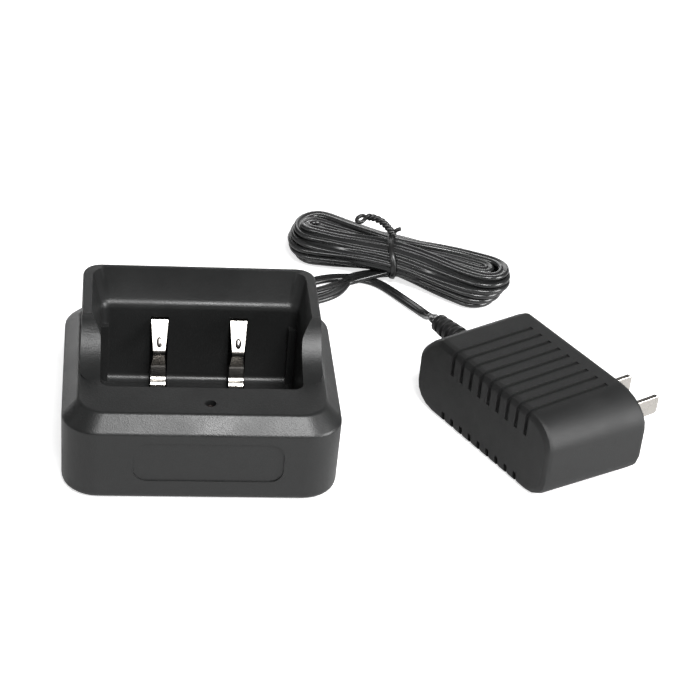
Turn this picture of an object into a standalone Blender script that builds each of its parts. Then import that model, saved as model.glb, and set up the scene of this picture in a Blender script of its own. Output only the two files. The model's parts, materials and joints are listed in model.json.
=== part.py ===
"""Desk charging set for a handheld two-way radio: a cradle with a radio pocket and two sprung
contacts, a bundled twin-core cord held by a twist tie, and a two-blade wall adapter.

The origin is on the table, under the middle of the whole set. +X is right, +Y is back, +Z is up.
Lengths are in millimetres, measured from the centre of the cradle's footprint, and become metres
when a mesh is made.
"""

import math

import bmesh
import bpy
from mathutils import Matrix, Vector

MM = 0.001
GAP = 0.3

# The cradle's footprint centre, seen from the origin under the middle of the whole set
CRADLE_AT = (-50.8, -43.2)

# Cradle housing
CRADLE_W = 82.0
CRADLE_D = 70.0
CORNER_R = 11.0
SKIRT_BOTTOM = 0.8
WALL_TOP = 23.3
DECK_Z = 28.0
DECK_INSET = 4.6
WALL = 2.2
TOWER_HALF_W = 36.0
TOWER_FRONT = -15.0
TOWER_BACK = 30.8
RIM_Z = 41.5
SCALLOP_R = 20.0
SCALLOP_Y = -17.0

# Radio pocket
POCKET_HALF_W = 30.0
POCKET_HALF_D = 17.0
POCKET_FLOOR = 8.2
LEDGE_Z = 36.0
LED_X = 2.0
RIM_INNER_HALF_W = 32.8
RIM_INNER_BACK = 27.6
TUB_WALL = 2.0

# Contacts
CONTACT_X = 12.1
SLOT_W = 5.5
SLOT_TOP = 31.0
STRIP_T = 0.4
CONTACT_PIVOT_Y = 11.5
CONTACT_PIVOT_Z = 8.0

# Supply lead
JACK_Z = 12.0
PLUG_BODY_START = 35.8
PLUG_END = 63.0
CORD_R = 1.6

# Wall adapter, in its own frame: X along its length, Y towards the blades
ADAPTER_AT = (78.5, 5.5)
ADAPTER_TURN = -60.4
ADAPTER_X0 = -16.6
ADAPTER_X1 = 46.8
ADAPTER_DRAFT = 3.6
ADAPTER_TOP_X0 = -7.5
ADAPTER_TOP_X1 = 36.6
ADAPTER_SEAM = 33.8
ADAPTER_BACK = 36.2
ADAPTER_WALL = 2.2
ADAPTER_H = 27.6
GROOVES = 9
GROOVE_PITCH = 4.48
GROOVE_W = 1.5
BLADE_X = (25.2, 37.9)
BLADE_Z = 14.9
BLADE_LENGTH = 16.4
BLADE_W = 6.35
BLADE_T = 1.5


def material(name, colour, roughness, metallic=0.0):
    """A Principled material shared by the pieces made of it."""
    found = bpy.data.materials.get(name)
    if found:
        return found
    made = bpy.data.materials.new(name)
    made.use_nodes = True
    shader = made.node_tree.nodes["Principled BSDF"]
    shader.inputs["Base Color"].default_value = (*colour, 1.0)
    shader.inputs["Roughness"].default_value = roughness
    shader.inputs["Metallic"].default_value = metallic
    made.diffuse_color = (*colour, 1.0)
    return made


def empty(name, at, parent=None, turn=0.0):
    made = bpy.data.objects.new(name, None)
    made.location = Vector(at) * MM
    made.rotation_euler = (0.0, 0.0, math.radians(turn))
    made.parent = parent
    bpy.context.scene.collection.objects.link(made)
    return made


def build(name, points, faces, mat=None, origin=(0, 0, 0), parent=None, cutter=False, smooth=None):
    """One object from points in its parent's frame, with its own origin placed at origin."""
    mesh = bpy.data.meshes.new(name)
    base = Vector(origin)
    mesh.from_pydata([(Vector(p) - base) * MM for p in points], [], faces)
    bm = bmesh.new()
    bm.from_mesh(mesh)
    bmesh.ops.remove_doubles(bm, verts=bm.verts, dist=1e-6)
    bmesh.ops.recalc_face_normals(bm, faces=bm.faces)
    bm.to_mesh(mesh)
    bm.free()
    if mat:
        mesh.materials.append(mat)
    if smooth:
        mesh.shade_smooth()
        mesh.set_sharp_from_angle(angle=math.radians(smooth))
    made = bpy.data.objects.new(name, mesh)
    made.location = base * MM
    made.parent = parent
    if cutter:
        made.hide_render = True
        made.display_type = "WIRE"
    bpy.context.scene.collection.objects.link(made)
    return made


def combine(target, other, operation):
    mod = target.modifiers.new(other.name, "BOOLEAN")
    mod.operation = operation
    mod.solver = "EXACT"
    mod.object = other
    return target


def cut(target, *others):
    for other in others:
        combine(target, other, "DIFFERENCE")


def join(target, *others):
    for other in others:
        combine(target, other, "UNION")


def rounded(x0, x1, y0, y1, r, steps=5):
    """Corner-rounded rectangle, counter-clockwise, as (x, y) pairs."""
    out = []
    corners = ((x1 - r, y1 - r, 0), (x0 + r, y1 - r, 90), (x0 + r, y0 + r, 180), (x1 - r, y0 + r, 270))
    for cx, cy, start in corners:
        for k in range(steps + 1):
            a = math.radians(start + 90.0 * k / steps)
            out.append((cx + r * math.cos(a), cy + r * math.sin(a)))
    return out


def circle(r, steps=16):
    return [(r * math.cos(2 * math.pi * k / steps),
             r * math.sin(2 * math.pi * k / steps)) for k in range(steps)]


def loft(rings):
    """Closed solid through equal-count rings of 3D points, capped at both ends."""
    count = len(rings[0])
    points = [p for ring in rings for p in ring]
    faces = [tuple(range(count))[::-1], tuple(len(points) - count + k for k in range(count))]
    for i in range(len(rings) - 1):
        for j in range(count):
            k = (j + 1) % count
            faces.append((i * count + j, i * count + k, (i + 1) * count + k, (i + 1) * count + j))
    return points, faces


def stack(levels, steps=5):
    """Loft along Z through rounded rectangles given as (z, x0, x1, y0, y1, r)."""
    return loft([[(x, y, z) for x, y in rounded(x0, x1, y0, y1, r, steps)] for z, x0, x1, y0, y1,
                 r in levels])


def centred(levels, steps=5):
    """Loft along Z through rounded rectangles given as (z, half width, half depth, r)."""
    return stack([(z, -w, w, -d, d, r) for z, w, d, r in levels], steps)


def box(x0, x1, y0, y1, z0, z1):
    corners = ((x0, y0), (x1, y0), (x1, y1), (x0, y1))
    return loft([[(x, y, z) for x, y in corners] for z in (z0, z1)])


def turned(profile, at, axis="Z", steps=16):
    """Solid of revolution from (position, radius) pairs; axis Y runs towards +Y."""
    rings = []
    for pos, r in profile:
        if axis == "Z":
            rings.append([(at[0] + a, at[1] + b, at[2] + pos) for a, b in circle(r, steps)])
        elif axis == "Y":
            rings.append([(at[0] + a, at[1] + pos, at[2] - b) for a, b in circle(r, steps)])
        else:
            rings.append([(at[0] + pos, at[1] + a, at[2] + b) for a, b in circle(r, steps)])
    return loft(rings)


def prism_x(profile, x0, x1):
    """Extrusion along X of a (y, z) outline."""
    return loft([[(x, y, z) for y, z in profile] for x in (x0, x1)])


def merged(parts):
    """Several closed shells as one list of points and faces."""
    points, faces = [], []
    for more, polygons in parts:
        base = len(points)
        points += more
        faces += [tuple(base + k for k in face) for face in polygons]
    return points, faces


def smooth_path(knots, steps=5):
    """Points of a Catmull-Rom curve through the knots."""
    ends = [Vector(knots[0]) * 2 - Vector(knots[1]), Vector(knots[-1]) * 2 - Vector(knots[-2])]
    p = [ends[0]] + [Vector(k) for k in knots] + [ends[1]]
    out = []
    for i in range(1, len(p) - 2):
        for k in range(steps):
            t = k / steps
            out.append(
                0.5 * (2 * p[i] + (p[i + 1] - p[i - 1]) * t
                       + (2 * p[i - 1] - 5 * p[i] + 4 * p[i + 1] - p[i + 2]) * t * t
                       + (3 * p[i] - p[i - 1] - 3 * p[i + 1] + p[i + 2]) * t ** 3)
            )
    out.append(p[-2])
    return out


def sweep(path, section, up=Vector((0, 0, 1))):
    """Closed solid that carries a (sideways, up) section along a path of points."""
    rings = []
    for i, point in enumerate(path):
        ahead = (path[min(i + 1, len(path) - 1)] - path[max(i - 1, 0)]).normalized()
        side = up.cross(ahead).normalized()
        top = ahead.cross(side)
        rings.append([tuple(point + side * a + top * b) for a, b in section])
    return loft(rings)


def strip(profile, widths, x):
    """A bent metal strip: (y, z) centre line of even thickness, with a width at each point."""
    line = [Vector((y, z)) for y, z in profile]
    front, back = [], []
    for i, p in enumerate(line):
        before = (p - line[i - 1]).normalized() if i else None
        after = (line[i + 1] - p).normalized() if i < len(line) - 1 else None
        d = ((before or after) + (after or before)).normalized()
        n = Vector((d.y, -d.x))
        grow = STRIP_T / 2 / max(0.5, abs(d.dot(after or before)))
        front.append(p + n * grow)
        back.append(p - n * grow)
    rings = []
    for f, b, w in zip(front, back, widths):
        h = w / 2
        rings.append([(x - h, f.x, f.y), (x + h, f.x, f.y), (x + h, b.x, b.y), (x - h, b.x, b.y)])
    return loft(rings)


def clear_scene():
    for old in list(bpy.data.objects):
        bpy.data.objects.remove(old, do_unlink=True)


def cradle_housing(plastic, root):
    w, d, r = CRADLE_W / 2, CRADLE_D / 2, CORNER_R
    deck_w, deck_d = w - DECK_INSET, d - DECK_INSET
    points, faces = centred([
        (SKIRT_BOTTOM, w - 1.0, d - 1.0, r - 1.0),
        (SKIRT_BOTTOM + 0.5, w - 0.5, d - 0.5, r - 0.5),
        (SKIRT_BOTTOM + 1.6, w - 0.2, d - 0.2, r - 0.2),
        (WALL_TOP - 0.5, w, d, r),
        (WALL_TOP, w - 0.15, d - 0.15, r - 0.2),
        (WALL_TOP + 0.5, w - 0.55, d - 0.55, r - 0.4),
        (DECK_Z - 0.45, deck_w + 0.5, deck_d + 0.5, r - 2.6),
        (DECK_Z - 0.1, deck_w, deck_d, r - 2.8),
        (DECK_Z, deck_w - 0.6, deck_d - 0.6, r - 3.0),
    ], 8)
    housing = build("top_housing", points, faces, plastic, (0, 0, 0), root, smooth=35)

    x = TOWER_HALF_W
    tower = build("tower_form", *stack([
        (DECK_Z - 1.5, -x, x, TOWER_FRONT, TOWER_BACK, 5.5),
        (RIM_Z - 0.9, -x + 0.3, x - 0.3, TOWER_FRONT, TOWER_BACK - 0.3, 5.5),
        (RIM_Z - 0.25, -x + 0.55, x - 0.55, TOWER_FRONT, TOWER_BACK - 0.55, 5.4),
        (RIM_Z, -x + 1.1, x - 1.1, TOWER_FRONT, TOWER_BACK - 1.1, 5.0),
    ], 7), parent=root, cutter=True)

    # The pocket stands straight up to the ledge, then its back and sides open out to the rim.
    px, py = POCKET_HALF_W, POCKET_HALF_D
    rise = (RIM_Z - LEDGE_Z)
    over = 1.5
    grow_x = (RIM_INNER_HALF_W - px) / rise * over
    grow_y = (RIM_INNER_BACK - py) / rise * over
    pocket = build("pocket_form", *stack([
        (POCKET_FLOOR, -px + 1.9, px - 1.9, -py + 1.0, py - 2.4, 2.0),
        (POCKET_FLOOR + 0.2, -px + 1.1, px - 1.1, -py + 0.6, py - 1.5, 2.2),
        (POCKET_FLOOR + 0.75, -px + 0.45, px - 0.45, -py + 0.2, py - 0.65, 2.5),
        (POCKET_FLOOR + 1.5, -px + 0.12, px - 0.12, -py, py - 0.15, 2.7),
        (POCKET_FLOOR + 2.5, -px, px, -py, py, 2.8),
        (LEDGE_Z - 2.4, -px, px, -py, py, 3.0),
        (LEDGE_Z - 1.5, -px - 0.04, px + 0.04, -py, py + 0.14, 3.0),
        (LEDGE_Z - 0.75, -px - 0.12, px + 0.12, -py, py + 0.48, 3.0),
        (LEDGE_Z - 0.15, -px - 0.25, px + 0.25, -py, py + 0.98, 3.1),
        (LEDGE_Z + 0.3, -px - 0.4, px + 0.4, -py, py + 1.58, 3.2),
        (LEDGE_Z + 0.7, -px - 0.55, px + 0.55, -py, py + 2.3, 3.3),
        (RIM_Z, -RIM_INNER_HALF_W, RIM_INNER_HALF_W, -py, RIM_INNER_BACK, 4.0),
        (RIM_Z + over, -RIM_INNER_HALF_W - grow_x, RIM_INNER_HALF_W + grow_x, -py, RIM_INNER_BACK + grow_y,
         4.3),
    ]), parent=root, cutter=True)

    # Finger scallops: one concave cut across the tower's side walls, running out just under the deck.
    lift = DECK_Z - 0.25
    arc = []
    for k in range(11):
        a = math.radians(-90.0 + 67.0 * k / 10)
        arc.append((SCALLOP_Y + SCALLOP_R * math.cos(a), lift + SCALLOP_R * (1 + math.sin(a))))
    outline = [(-28.0, lift)] + arc + [(arc[-1][0] + 0.4, 44.0), (-28.0, 44.0)]
    scallop = build("scallop_form", *prism_x(outline, -44.0, 44.0), parent=root, cutter=True)

    # The hollow under the deck and inside the back wall, leaving the pocket's tub standing.
    hollow = build("hollow_form", *centred([
        (SKIRT_BOTTOM - 1.5, w - WALL, d - WALL, r - WALL),
        (WALL_TOP - 1.0, w - WALL, d - WALL, r - WALL),
        (DECK_Z - 2.2, deck_w - 1.4, deck_d - 1.4, r - 4.0),
    ], 4), parent=root, cutter=True)
    back_gap = [(19.0, 20.0), (28.4, 20.0), (28.4, 39.0), (19.0, 34.4)]
    back = build("back_hollow_form", *prism_x(back_gap, -27.0, 27.0), parent=root, cutter=True)
    tub = build("tub_form", *box(-px - TUB_WALL, px + TUB_WALL, -py - TUB_WALL, py + TUB_WALL,
                                 POCKET_FLOOR - 1.6, 45.0), parent=root, cutter=True)
    join(hollow, back)
    cut(hollow, tub)

    slots = merged([box(s * CONTACT_X - SLOT_W / 2, s * CONTACT_X + SLOT_W / 2, 9.8, 20.5, 3.5, SLOT_TOP)
                    for s in (-1, 1)])
    slots = build("slot_form", *slots, parent=root, cutter=True)
    led_hole = build("led_hole_form", *turned([(0, 1.7), (6, 1.7)], (LED_X, -25.0, 24.0)), parent=root,
                     cutter=True)
    jack_hole = build("jack_hole_form", *turned([(31.0, 4.4), (37.0, 4.4)], (0, 0, JACK_Z), "Y"),
                      parent=root, cutter=True)
    panel = [(px_, pz) for px_, pz in rounded(-20.2, 23.8, 7.0, 20.4, 4.0, 4)]
    recess = build("panel_form", *loft([[(a, y, b) for a, b in panel] for y in (-36.0, -34.45)]),
                   parent=root, cutter=True)

    bosses, pilots = [], []
    for sx in (-1, 1):
        for sy in (-1, 1):
            at = (sx * 32.0, sy * 26.0, 0.0)
            bosses.append(turned([(4.0, 2.9), (DECK_Z - 1.2, 2.9)], at, steps=12))
            pilots.append(turned([(3.0, 1.5), (13.0, 1.5)], at, steps=8))
    boss = build("boss_form", *merged(bosses), parent=root, cutter=True)
    pilot = build("pilot_form", *merged(pilots), parent=root, cutter=True)
    ribs = merged([box(min(s * (px + 1.0), s * (px - 2.4)), max(s * (px + 1.0), s * (px - 2.4)), 14.6, 18.0,
                       6.0, 28.4)
                   for s in (-1, 1)])
    rib = build("rib_form", *ribs, parent=root, cutter=True)

    cut(tower, scallop)
    join(housing, tower)
    cut(housing, pocket, hollow)
    join(housing, boss, rib)
    cut(housing, pilot, slots, led_hole, jack_hole, recess)
    return housing


def cradle_base(plastic, rubber, steel, root):
    w, d, r = CRADLE_W / 2 - WALL - 0.4, CRADLE_D / 2 - WALL - 0.4, CORNER_R - WALL - 0.4
    cover = build("bottom_cover", *centred([(1.1, w - 0.4, d - 0.4, r - 0.4), (1.5, w, d, r),
                                            (3.6, w, d, r)]),
                  plastic, (0, 0, 1.1), root, smooth=35)
    holes, recesses = [], []
    for sx in (-1, 1):
        for sy in (-1, 1):
            at = (sx * 32.0, sy * 26.0, 0.0)
            holes.append(turned([(0.6, 2.9), (2.4, 2.9), (2.45, 1.5), (4.2, 1.5)], at, steps=12))
            recesses.append(turned([(0.6, 4.9), (2.1, 4.9)], (sx * 31.0, sy * 14.0, 0.0), steps=16))
    hole = build("cover_hole_form", *merged(holes), parent=root, cutter=True)
    recess = build("foot_recess_form", *merged(recesses), parent=root, cutter=True)
    cut(cover, hole, recess)
    for sx, side in ((-1, "left"), (1, "right")):
        for sy, end in ((-1, "front"), (1, "rear")):
            at = (sx * 31.0, sy * 14.0, 0.0)
            build(f"rubber_foot_{end}_{side}", *turned([(0, 4.1), (0.4, 4.5), (1.8, 4.5)], at, steps=16),
                  rubber, at, root, smooth=35)
            at = (sx * 32.0, sy * 26.0, 0.0)
            profile = [(1.2, 2.0), (1.4, 2.4), (2.1, 2.4), (2.15, 1.15), (11.5, 1.15), (12.2, 0.5)]
            build(f"housing_screw_{end}_{side}", *turned(profile, at, steps=12), steel, at, root, smooth=35)


def cradle_inside(root, mats):
    board_z = 13.0
    build("charge_board", *box(-28.4, 28.4, -32.2, -19.7, board_z, board_z + 1.6),
          mats["board"], (0, -26.0, board_z), root)
    top = board_z + 1.6 + GAP
    build("charge_controller", *stack([(top, 8.0, 13.0, -28.0, -24.0, 0.2),
                                       (top + 0.8, 8.0, 13.0, -28.0, -24.0, 0.2),
                                       (top + 1.6, 8.3, 12.7, -27.7, -24.3, 0.2)], 1),
          mats["resin"], (10.5, -26.0, top), root)
    build("drive_transistor", *stack([(top, -9.5, -3.5, -28.4, -24.8, 0.2),
                                      (top + 0.9, -9.5, -3.5, -28.4, -24.8, 0.2),
                                      (top + 1.6, -9.2, -3.8, -28.1, -25.1, 0.2)], 1),
          mats["resin"], (-6.5, -26.6, top), root)
    build("sense_resistor", *box(17.0, 20.4, -27.0, -25.2, top, top + 0.7), mats["resin"],
          (18.7, -26.1, top), root)
    build("board_capacitor", *turned([(0, 2.4), (0.4, 2.6), (1.0, 2.4), (1.4, 2.6), (7.2, 2.6), (7.6, 2.2)],
                                     (-17.0, -26.0, top)), mats["sleeve"],
          (-17.0, -26.0, top), root, smooth=35)

    led_at = (LED_X, -25.0, 0.0)
    dome = [(21.6, 1.4)] + [(25.9 + 1.4 * math.sin(math.radians(a)),
                             max(0.12, 1.4 * math.cos(math.radians(a))))
                            for a in (0, 25, 50, 72, 86)]
    led = build("status_led", *turned(dome, led_at, steps=14), mats["lens"], (LED_X, -25.0, 21.6), root,
                smooth=40)
    legs = merged([box(LED_X + s * 0.8 - 0.22, LED_X + s * 0.8 + 0.22, -25.22, -24.78, top, 22.4)
                   for s in (-1, 1)])
    join(led, build("led_leg_form", *legs, parent=root, cutter=True))

    jack = build("power_jack", *box(-4.5, 4.5, 19.5, 32.3, JACK_Z - 5.5, JACK_Z + 5.5),
                 mats["jack"], (0, 32.3, JACK_Z), root)
    nose = build("jack_nose_form", *turned([(31.5, 4.0), (34.8, 4.0)], (0, 0, JACK_Z), "Y"), parent=root,
                 cutter=True)
    bore = build("jack_bore_form", *turned([(24.6, 3.1), (36.0, 3.1)], (0, 0, JACK_Z), "Y"), parent=root,
                 cutter=True)
    join(jack, nose)
    cut(jack, bore)
    build("jack_pin", *turned([(24.9, 0.95), (33.2, 0.95), (33.7, 0.5)], (0, 0, JACK_Z), "Y", 10),
          mats["nickel"], (0, 24.9, JACK_Z), root, smooth=35)

    for s, side in ((-1, "left"), (1, "right")):
        x = s * CONTACT_X
        line = [(14.0, 4.14), (-21.6, 4.14), (-21.6, 12.7)]
        half = 1.5
        t = 0.16
        outline = [(line[0][0], 4.14 - t), (line[0][0], 4.14 + t), (-21.6 + t, 4.14 + t),
                   (-21.6 + t, line[2][1]),
                   (-21.6 - t, line[2][1]), (-21.6 - t, 4.14 - t)]
        build(f"contact_lead_{side}", *prism_x(outline, x - half, x + half), mats["nickel"],
              (x, 14.0, 4.14), root)


def contact_spring(side, x, nickel, root):
    """Sprung finger: free upper end inside its slot, apex leaning into the pocket, root in the floor."""
    pivot = empty(f"contact_{side}_pivot", (x, CONTACT_PIVOT_Y, CONTACT_PIVOT_Z), root)
    profile = [(17.9, 30.2), (16.8, 30.0), (16.1, 29.3), (15.6, 28.4), (13.5, 25.2), (11.5, 22.4),
               (11.15, 21.7), (11.1, 21.0), (11.4, 20.4), (12.6, 18.3), (13.6, 16.2), (14.0, 15.2), (14.05, 14.4),
               (13.8, 11.8),
               (13.3, 10.9), (12.6, 10.4), (12.0, 10.1), (11.6, 9.6), (11.5, 8.8), (11.5, 5.0)]
    widths = [4.9, 5.0, 5.0, 4.9, 4.3, 3.7, 3.6, 3.6, 3.6, 3.8, 4.2, 4.4, 4.5, 4.6, 4.6, 4.6, 4.6, 4.5, 4.4,
              4.4]
    points, faces = strip(profile, widths, x)
    base = Vector((x, CONTACT_PIVOT_Y, CONTACT_PIVOT_Z))
    local = [tuple(Vector(p) - base) for p in points]
    return build(f"contact_spring_{side}", local, faces, nickel, (0, 0, 0), pivot)


def plug(rubber, nickel, supply):
    barrel = build("plug_barrel", *turned([(25.5, 2.45), (25.9, 2.75), (35.5, 2.75)], (0, 0, JACK_Z), "Y", 16),
                   nickel, (0, 35.5, JACK_Z), supply, smooth=35)
    bore = build("barrel_bore_form", *turned([(24.0, 1.35), (34.4, 1.35)], (0, 0, JACK_Z), "Y", 10),
                 parent=supply, cutter=True)
    cut(barrel, bore)
    profile = [(PLUG_BODY_START, 4.5), (PLUG_BODY_START + 0.5, 4.9), (47.0, 4.9), (51.5, 4.3), (53.0, 3.2),
               (54.2, 3.0), (54.4, 2.6), (55.2, 2.6), (55.4, 2.9), (56.8, 2.8), (57.0, 2.4), (57.8, 2.4),
               (58.0, 2.7),
               (59.4, 2.6), (59.6, 2.3), (60.4, 2.3), (60.6, 2.5), (62.4, 2.4), (PLUG_END, 2.1)]
    build("plug_body", *turned(profile, (0, 0, JACK_Z), "Y", 16), rubber, (0, PLUG_BODY_START, JACK_Z),
          supply,
          smooth=35)


def coil_form(parent):
    """The bundled loops of cord as one flattened solid, waisted where the tie holds it."""
    start, end = Vector((39.6, 113.4, 0.0)), Vector((109.2, 81.2, 0.0))
    along = (end - start).normalized()
    side = Vector((-along.y, along.x, 0.0))
    rings = []
    for t, half, z0, z1 in ((0.0, 6.0, 4.0, 10.6), (0.05, 11.0, 2.4, 13.2), (0.15, 14.0, 1.6, 15.0),
                            (0.34, 13.0, 1.6, 15.0), (0.45, 11.0, 1.8, 14.6), (0.56, 12.0, 1.6, 14.4),
                            (0.72, 13.2, 1.2, 13.8), (0.86, 14.6, 1.0, 12.6), (0.95, 11.5, 1.8, 11.4),
                            (1.0, 6.0, 4.0, 9.0)):
        centre = start + (end - start) * t
        mid, high = (z0 + z1) / 2, (z1 - z0) / 2
        ring = []
        for k in range(16):
            a = 2 * math.pi * k / 16
            c, s = math.cos(a), math.sin(a)
            u = half * math.copysign(abs(c) ** 0.75, c)
            v = high * math.copysign(abs(s) ** 0.75, s)
            ring.append(tuple(centre + side * u + Vector((0, 0, mid + v))))
        rings.append(ring)
    return rings, start, end, side


def cord_and_tie(mats, supply):
    rings, start, end, side = coil_form(supply)
    cord = build("power_cord", *loft(rings), mats["cord"], (0, PLUG_END, JACK_Z), supply, smooth=50)
    section = circle(CORD_R, 8)
    plug_lead = smooth_path([(0, PLUG_END + GAP, JACK_Z), (0, 68.0, 11.2), (6.0, 74.5, 6.4),
                             (18.0, 77.5, 2.6),
                             (32.0, 76.8, 2.2), (44.5, 78.3, 2.2), (49.5, 82.0, 2.6), (52.0, 88.0, 3.6),
                             (54.0, 97.0, 6.0)], 4)
    away = smooth_path([(79.5, 46.3, 13.4), (78.4, 48.6, 13.2), (80.2, 56.0, 8.4), (80.2, 64.0, 3.4),
                        (77.0, 72.0, 2.0), (71.2, 81.2, 2.0), (66.4, 84.6, 2.0), (61.5, 88.2, 2.2),
                         (56.5, 95.0, 5.5)], 4)
    loop = smooth_path([(60.0, 96.5, 5.0), (52.5, 93.6, 2.6), (43.0, 89.4, 2.2), (33.0, 84.8, 2.2),
                        (25.0, 83.4, 2.2),
                        (21.0, 86.0, 2.2), (25.5, 89.0, 2.2), (34.0, 92.0, 2.4), (44.0, 98.5, 4.0),
                         (50.0, 104.0, 6.0)], 4)
    for name, path in (("plug_lead_form", plug_lead), ("adapter_lead_form", away), ("loop_form", loop)):
        join(cord, build(name, *sweep(path, section), parent=supply, cutter=True))

    # The tie: a flat ribbon round the waist of the coil, with its twisted end lying on top.
    t = 0.47
    centre = start + (end - start) * t
    along = (end - start).normalized()
    ring_in, ring_out = [], []
    steps = 28
    for k in range(steps):
        a = 2 * math.pi * k / steps
        c, s = math.cos(a), math.sin(a)
        shape = (math.copysign(abs(c) ** 0.75, c), math.copysign(abs(s) ** 0.75, s))
        for out, more in ((ring_in, 0.45), (ring_out, 1.15)):
            u = (11.5 + more) * shape[0]
            v = (6.5 + more) * shape[1]
            out.append(centre + side * u + Vector((0, 0, 8.2 + v)))
    points, faces = [], []
    half = along * 1.6
    for p_in, p_out in zip(ring_in, ring_out):
        points += [tuple(p_in - half), tuple(p_out - half), tuple(p_out + half), tuple(p_in + half)]
    for k in range(steps):
        n = (k + 1) % steps
        for a, b in ((0, 1), (1, 2), (2, 3), (3, 0)):
            faces.append((4 * k + a, 4 * k + b, 4 * n + b, 4 * n + a))
    tie = build("twist_tie", points, faces, mats["tie"], tuple(centre), supply)
    tail = smooth_path([(73.0, 98.0, 15.6), (71.6, 101.0, 17.4), (69.0, 106.0, 18.4), (64.5, 110.5, 18.0),
                        (59.5, 112.0, 16.6)], 4)
    tail_section = [(-1.3, -0.55), (1.3, -0.55), (1.3, 0.55), (-1.3, 0.55)]
    join(tie, build("tail_form", *sweep(tail, tail_section), parent=supply, cutter=True))


def quarter(cx, cz, rx, rz, start, y, power=1.0, steps=6):
    """A quarter of an ellipse about (cx, cz), from start degrees; a power over 1 flattens it to a bevel."""
    out = []
    for k in range(steps + 1):
        a = math.radians(start + 90.0 * k / steps)
        c, s = math.cos(a), math.sin(a)
        out.append((cx + rx * math.copysign(abs(c) ** power, c), y,
                    cz + rz * math.copysign(abs(s) ** power, s)))
    return out


def adapter_section(y, inset=0.0, flat=0.0):
    """Barrel-ended outline at a distance from the outer face: long soft shoulders over each end above,
    tighter ones below. inset shrinks it all round, and flat takes more off its top and bottom."""
    spread = ADAPTER_DRAFT * max(0.0, y) / ADAPTER_BACK
    x0, x1 = ADAPTER_X0 + inset, ADAPTER_X1 + spread - inset
    t0, t1 = ADAPTER_TOP_X0 + inset * 0.4, ADAPTER_TOP_X1 - inset * 0.4
    b0, b1 = x0 + 0.88 * (t0 - x0), x1 - 0.8 * (x1 - t1)
    low, high = inset + flat, ADAPTER_H - inset - flat
    shoulder, foot = 9.4 - flat, 7.5 - flat
    return (quarter(t1, high - shoulder, x1 - t1, shoulder, 0, y)
            + quarter(t0, high - shoulder, t0 - x0, shoulder, 90, y, 1.5)
            + quarter(b0, low + foot, b0 - x0, foot, 180, y, steps=4)
            + quarter(b1, low + foot, x1 - b1, foot, 270, y, steps=4))


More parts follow.
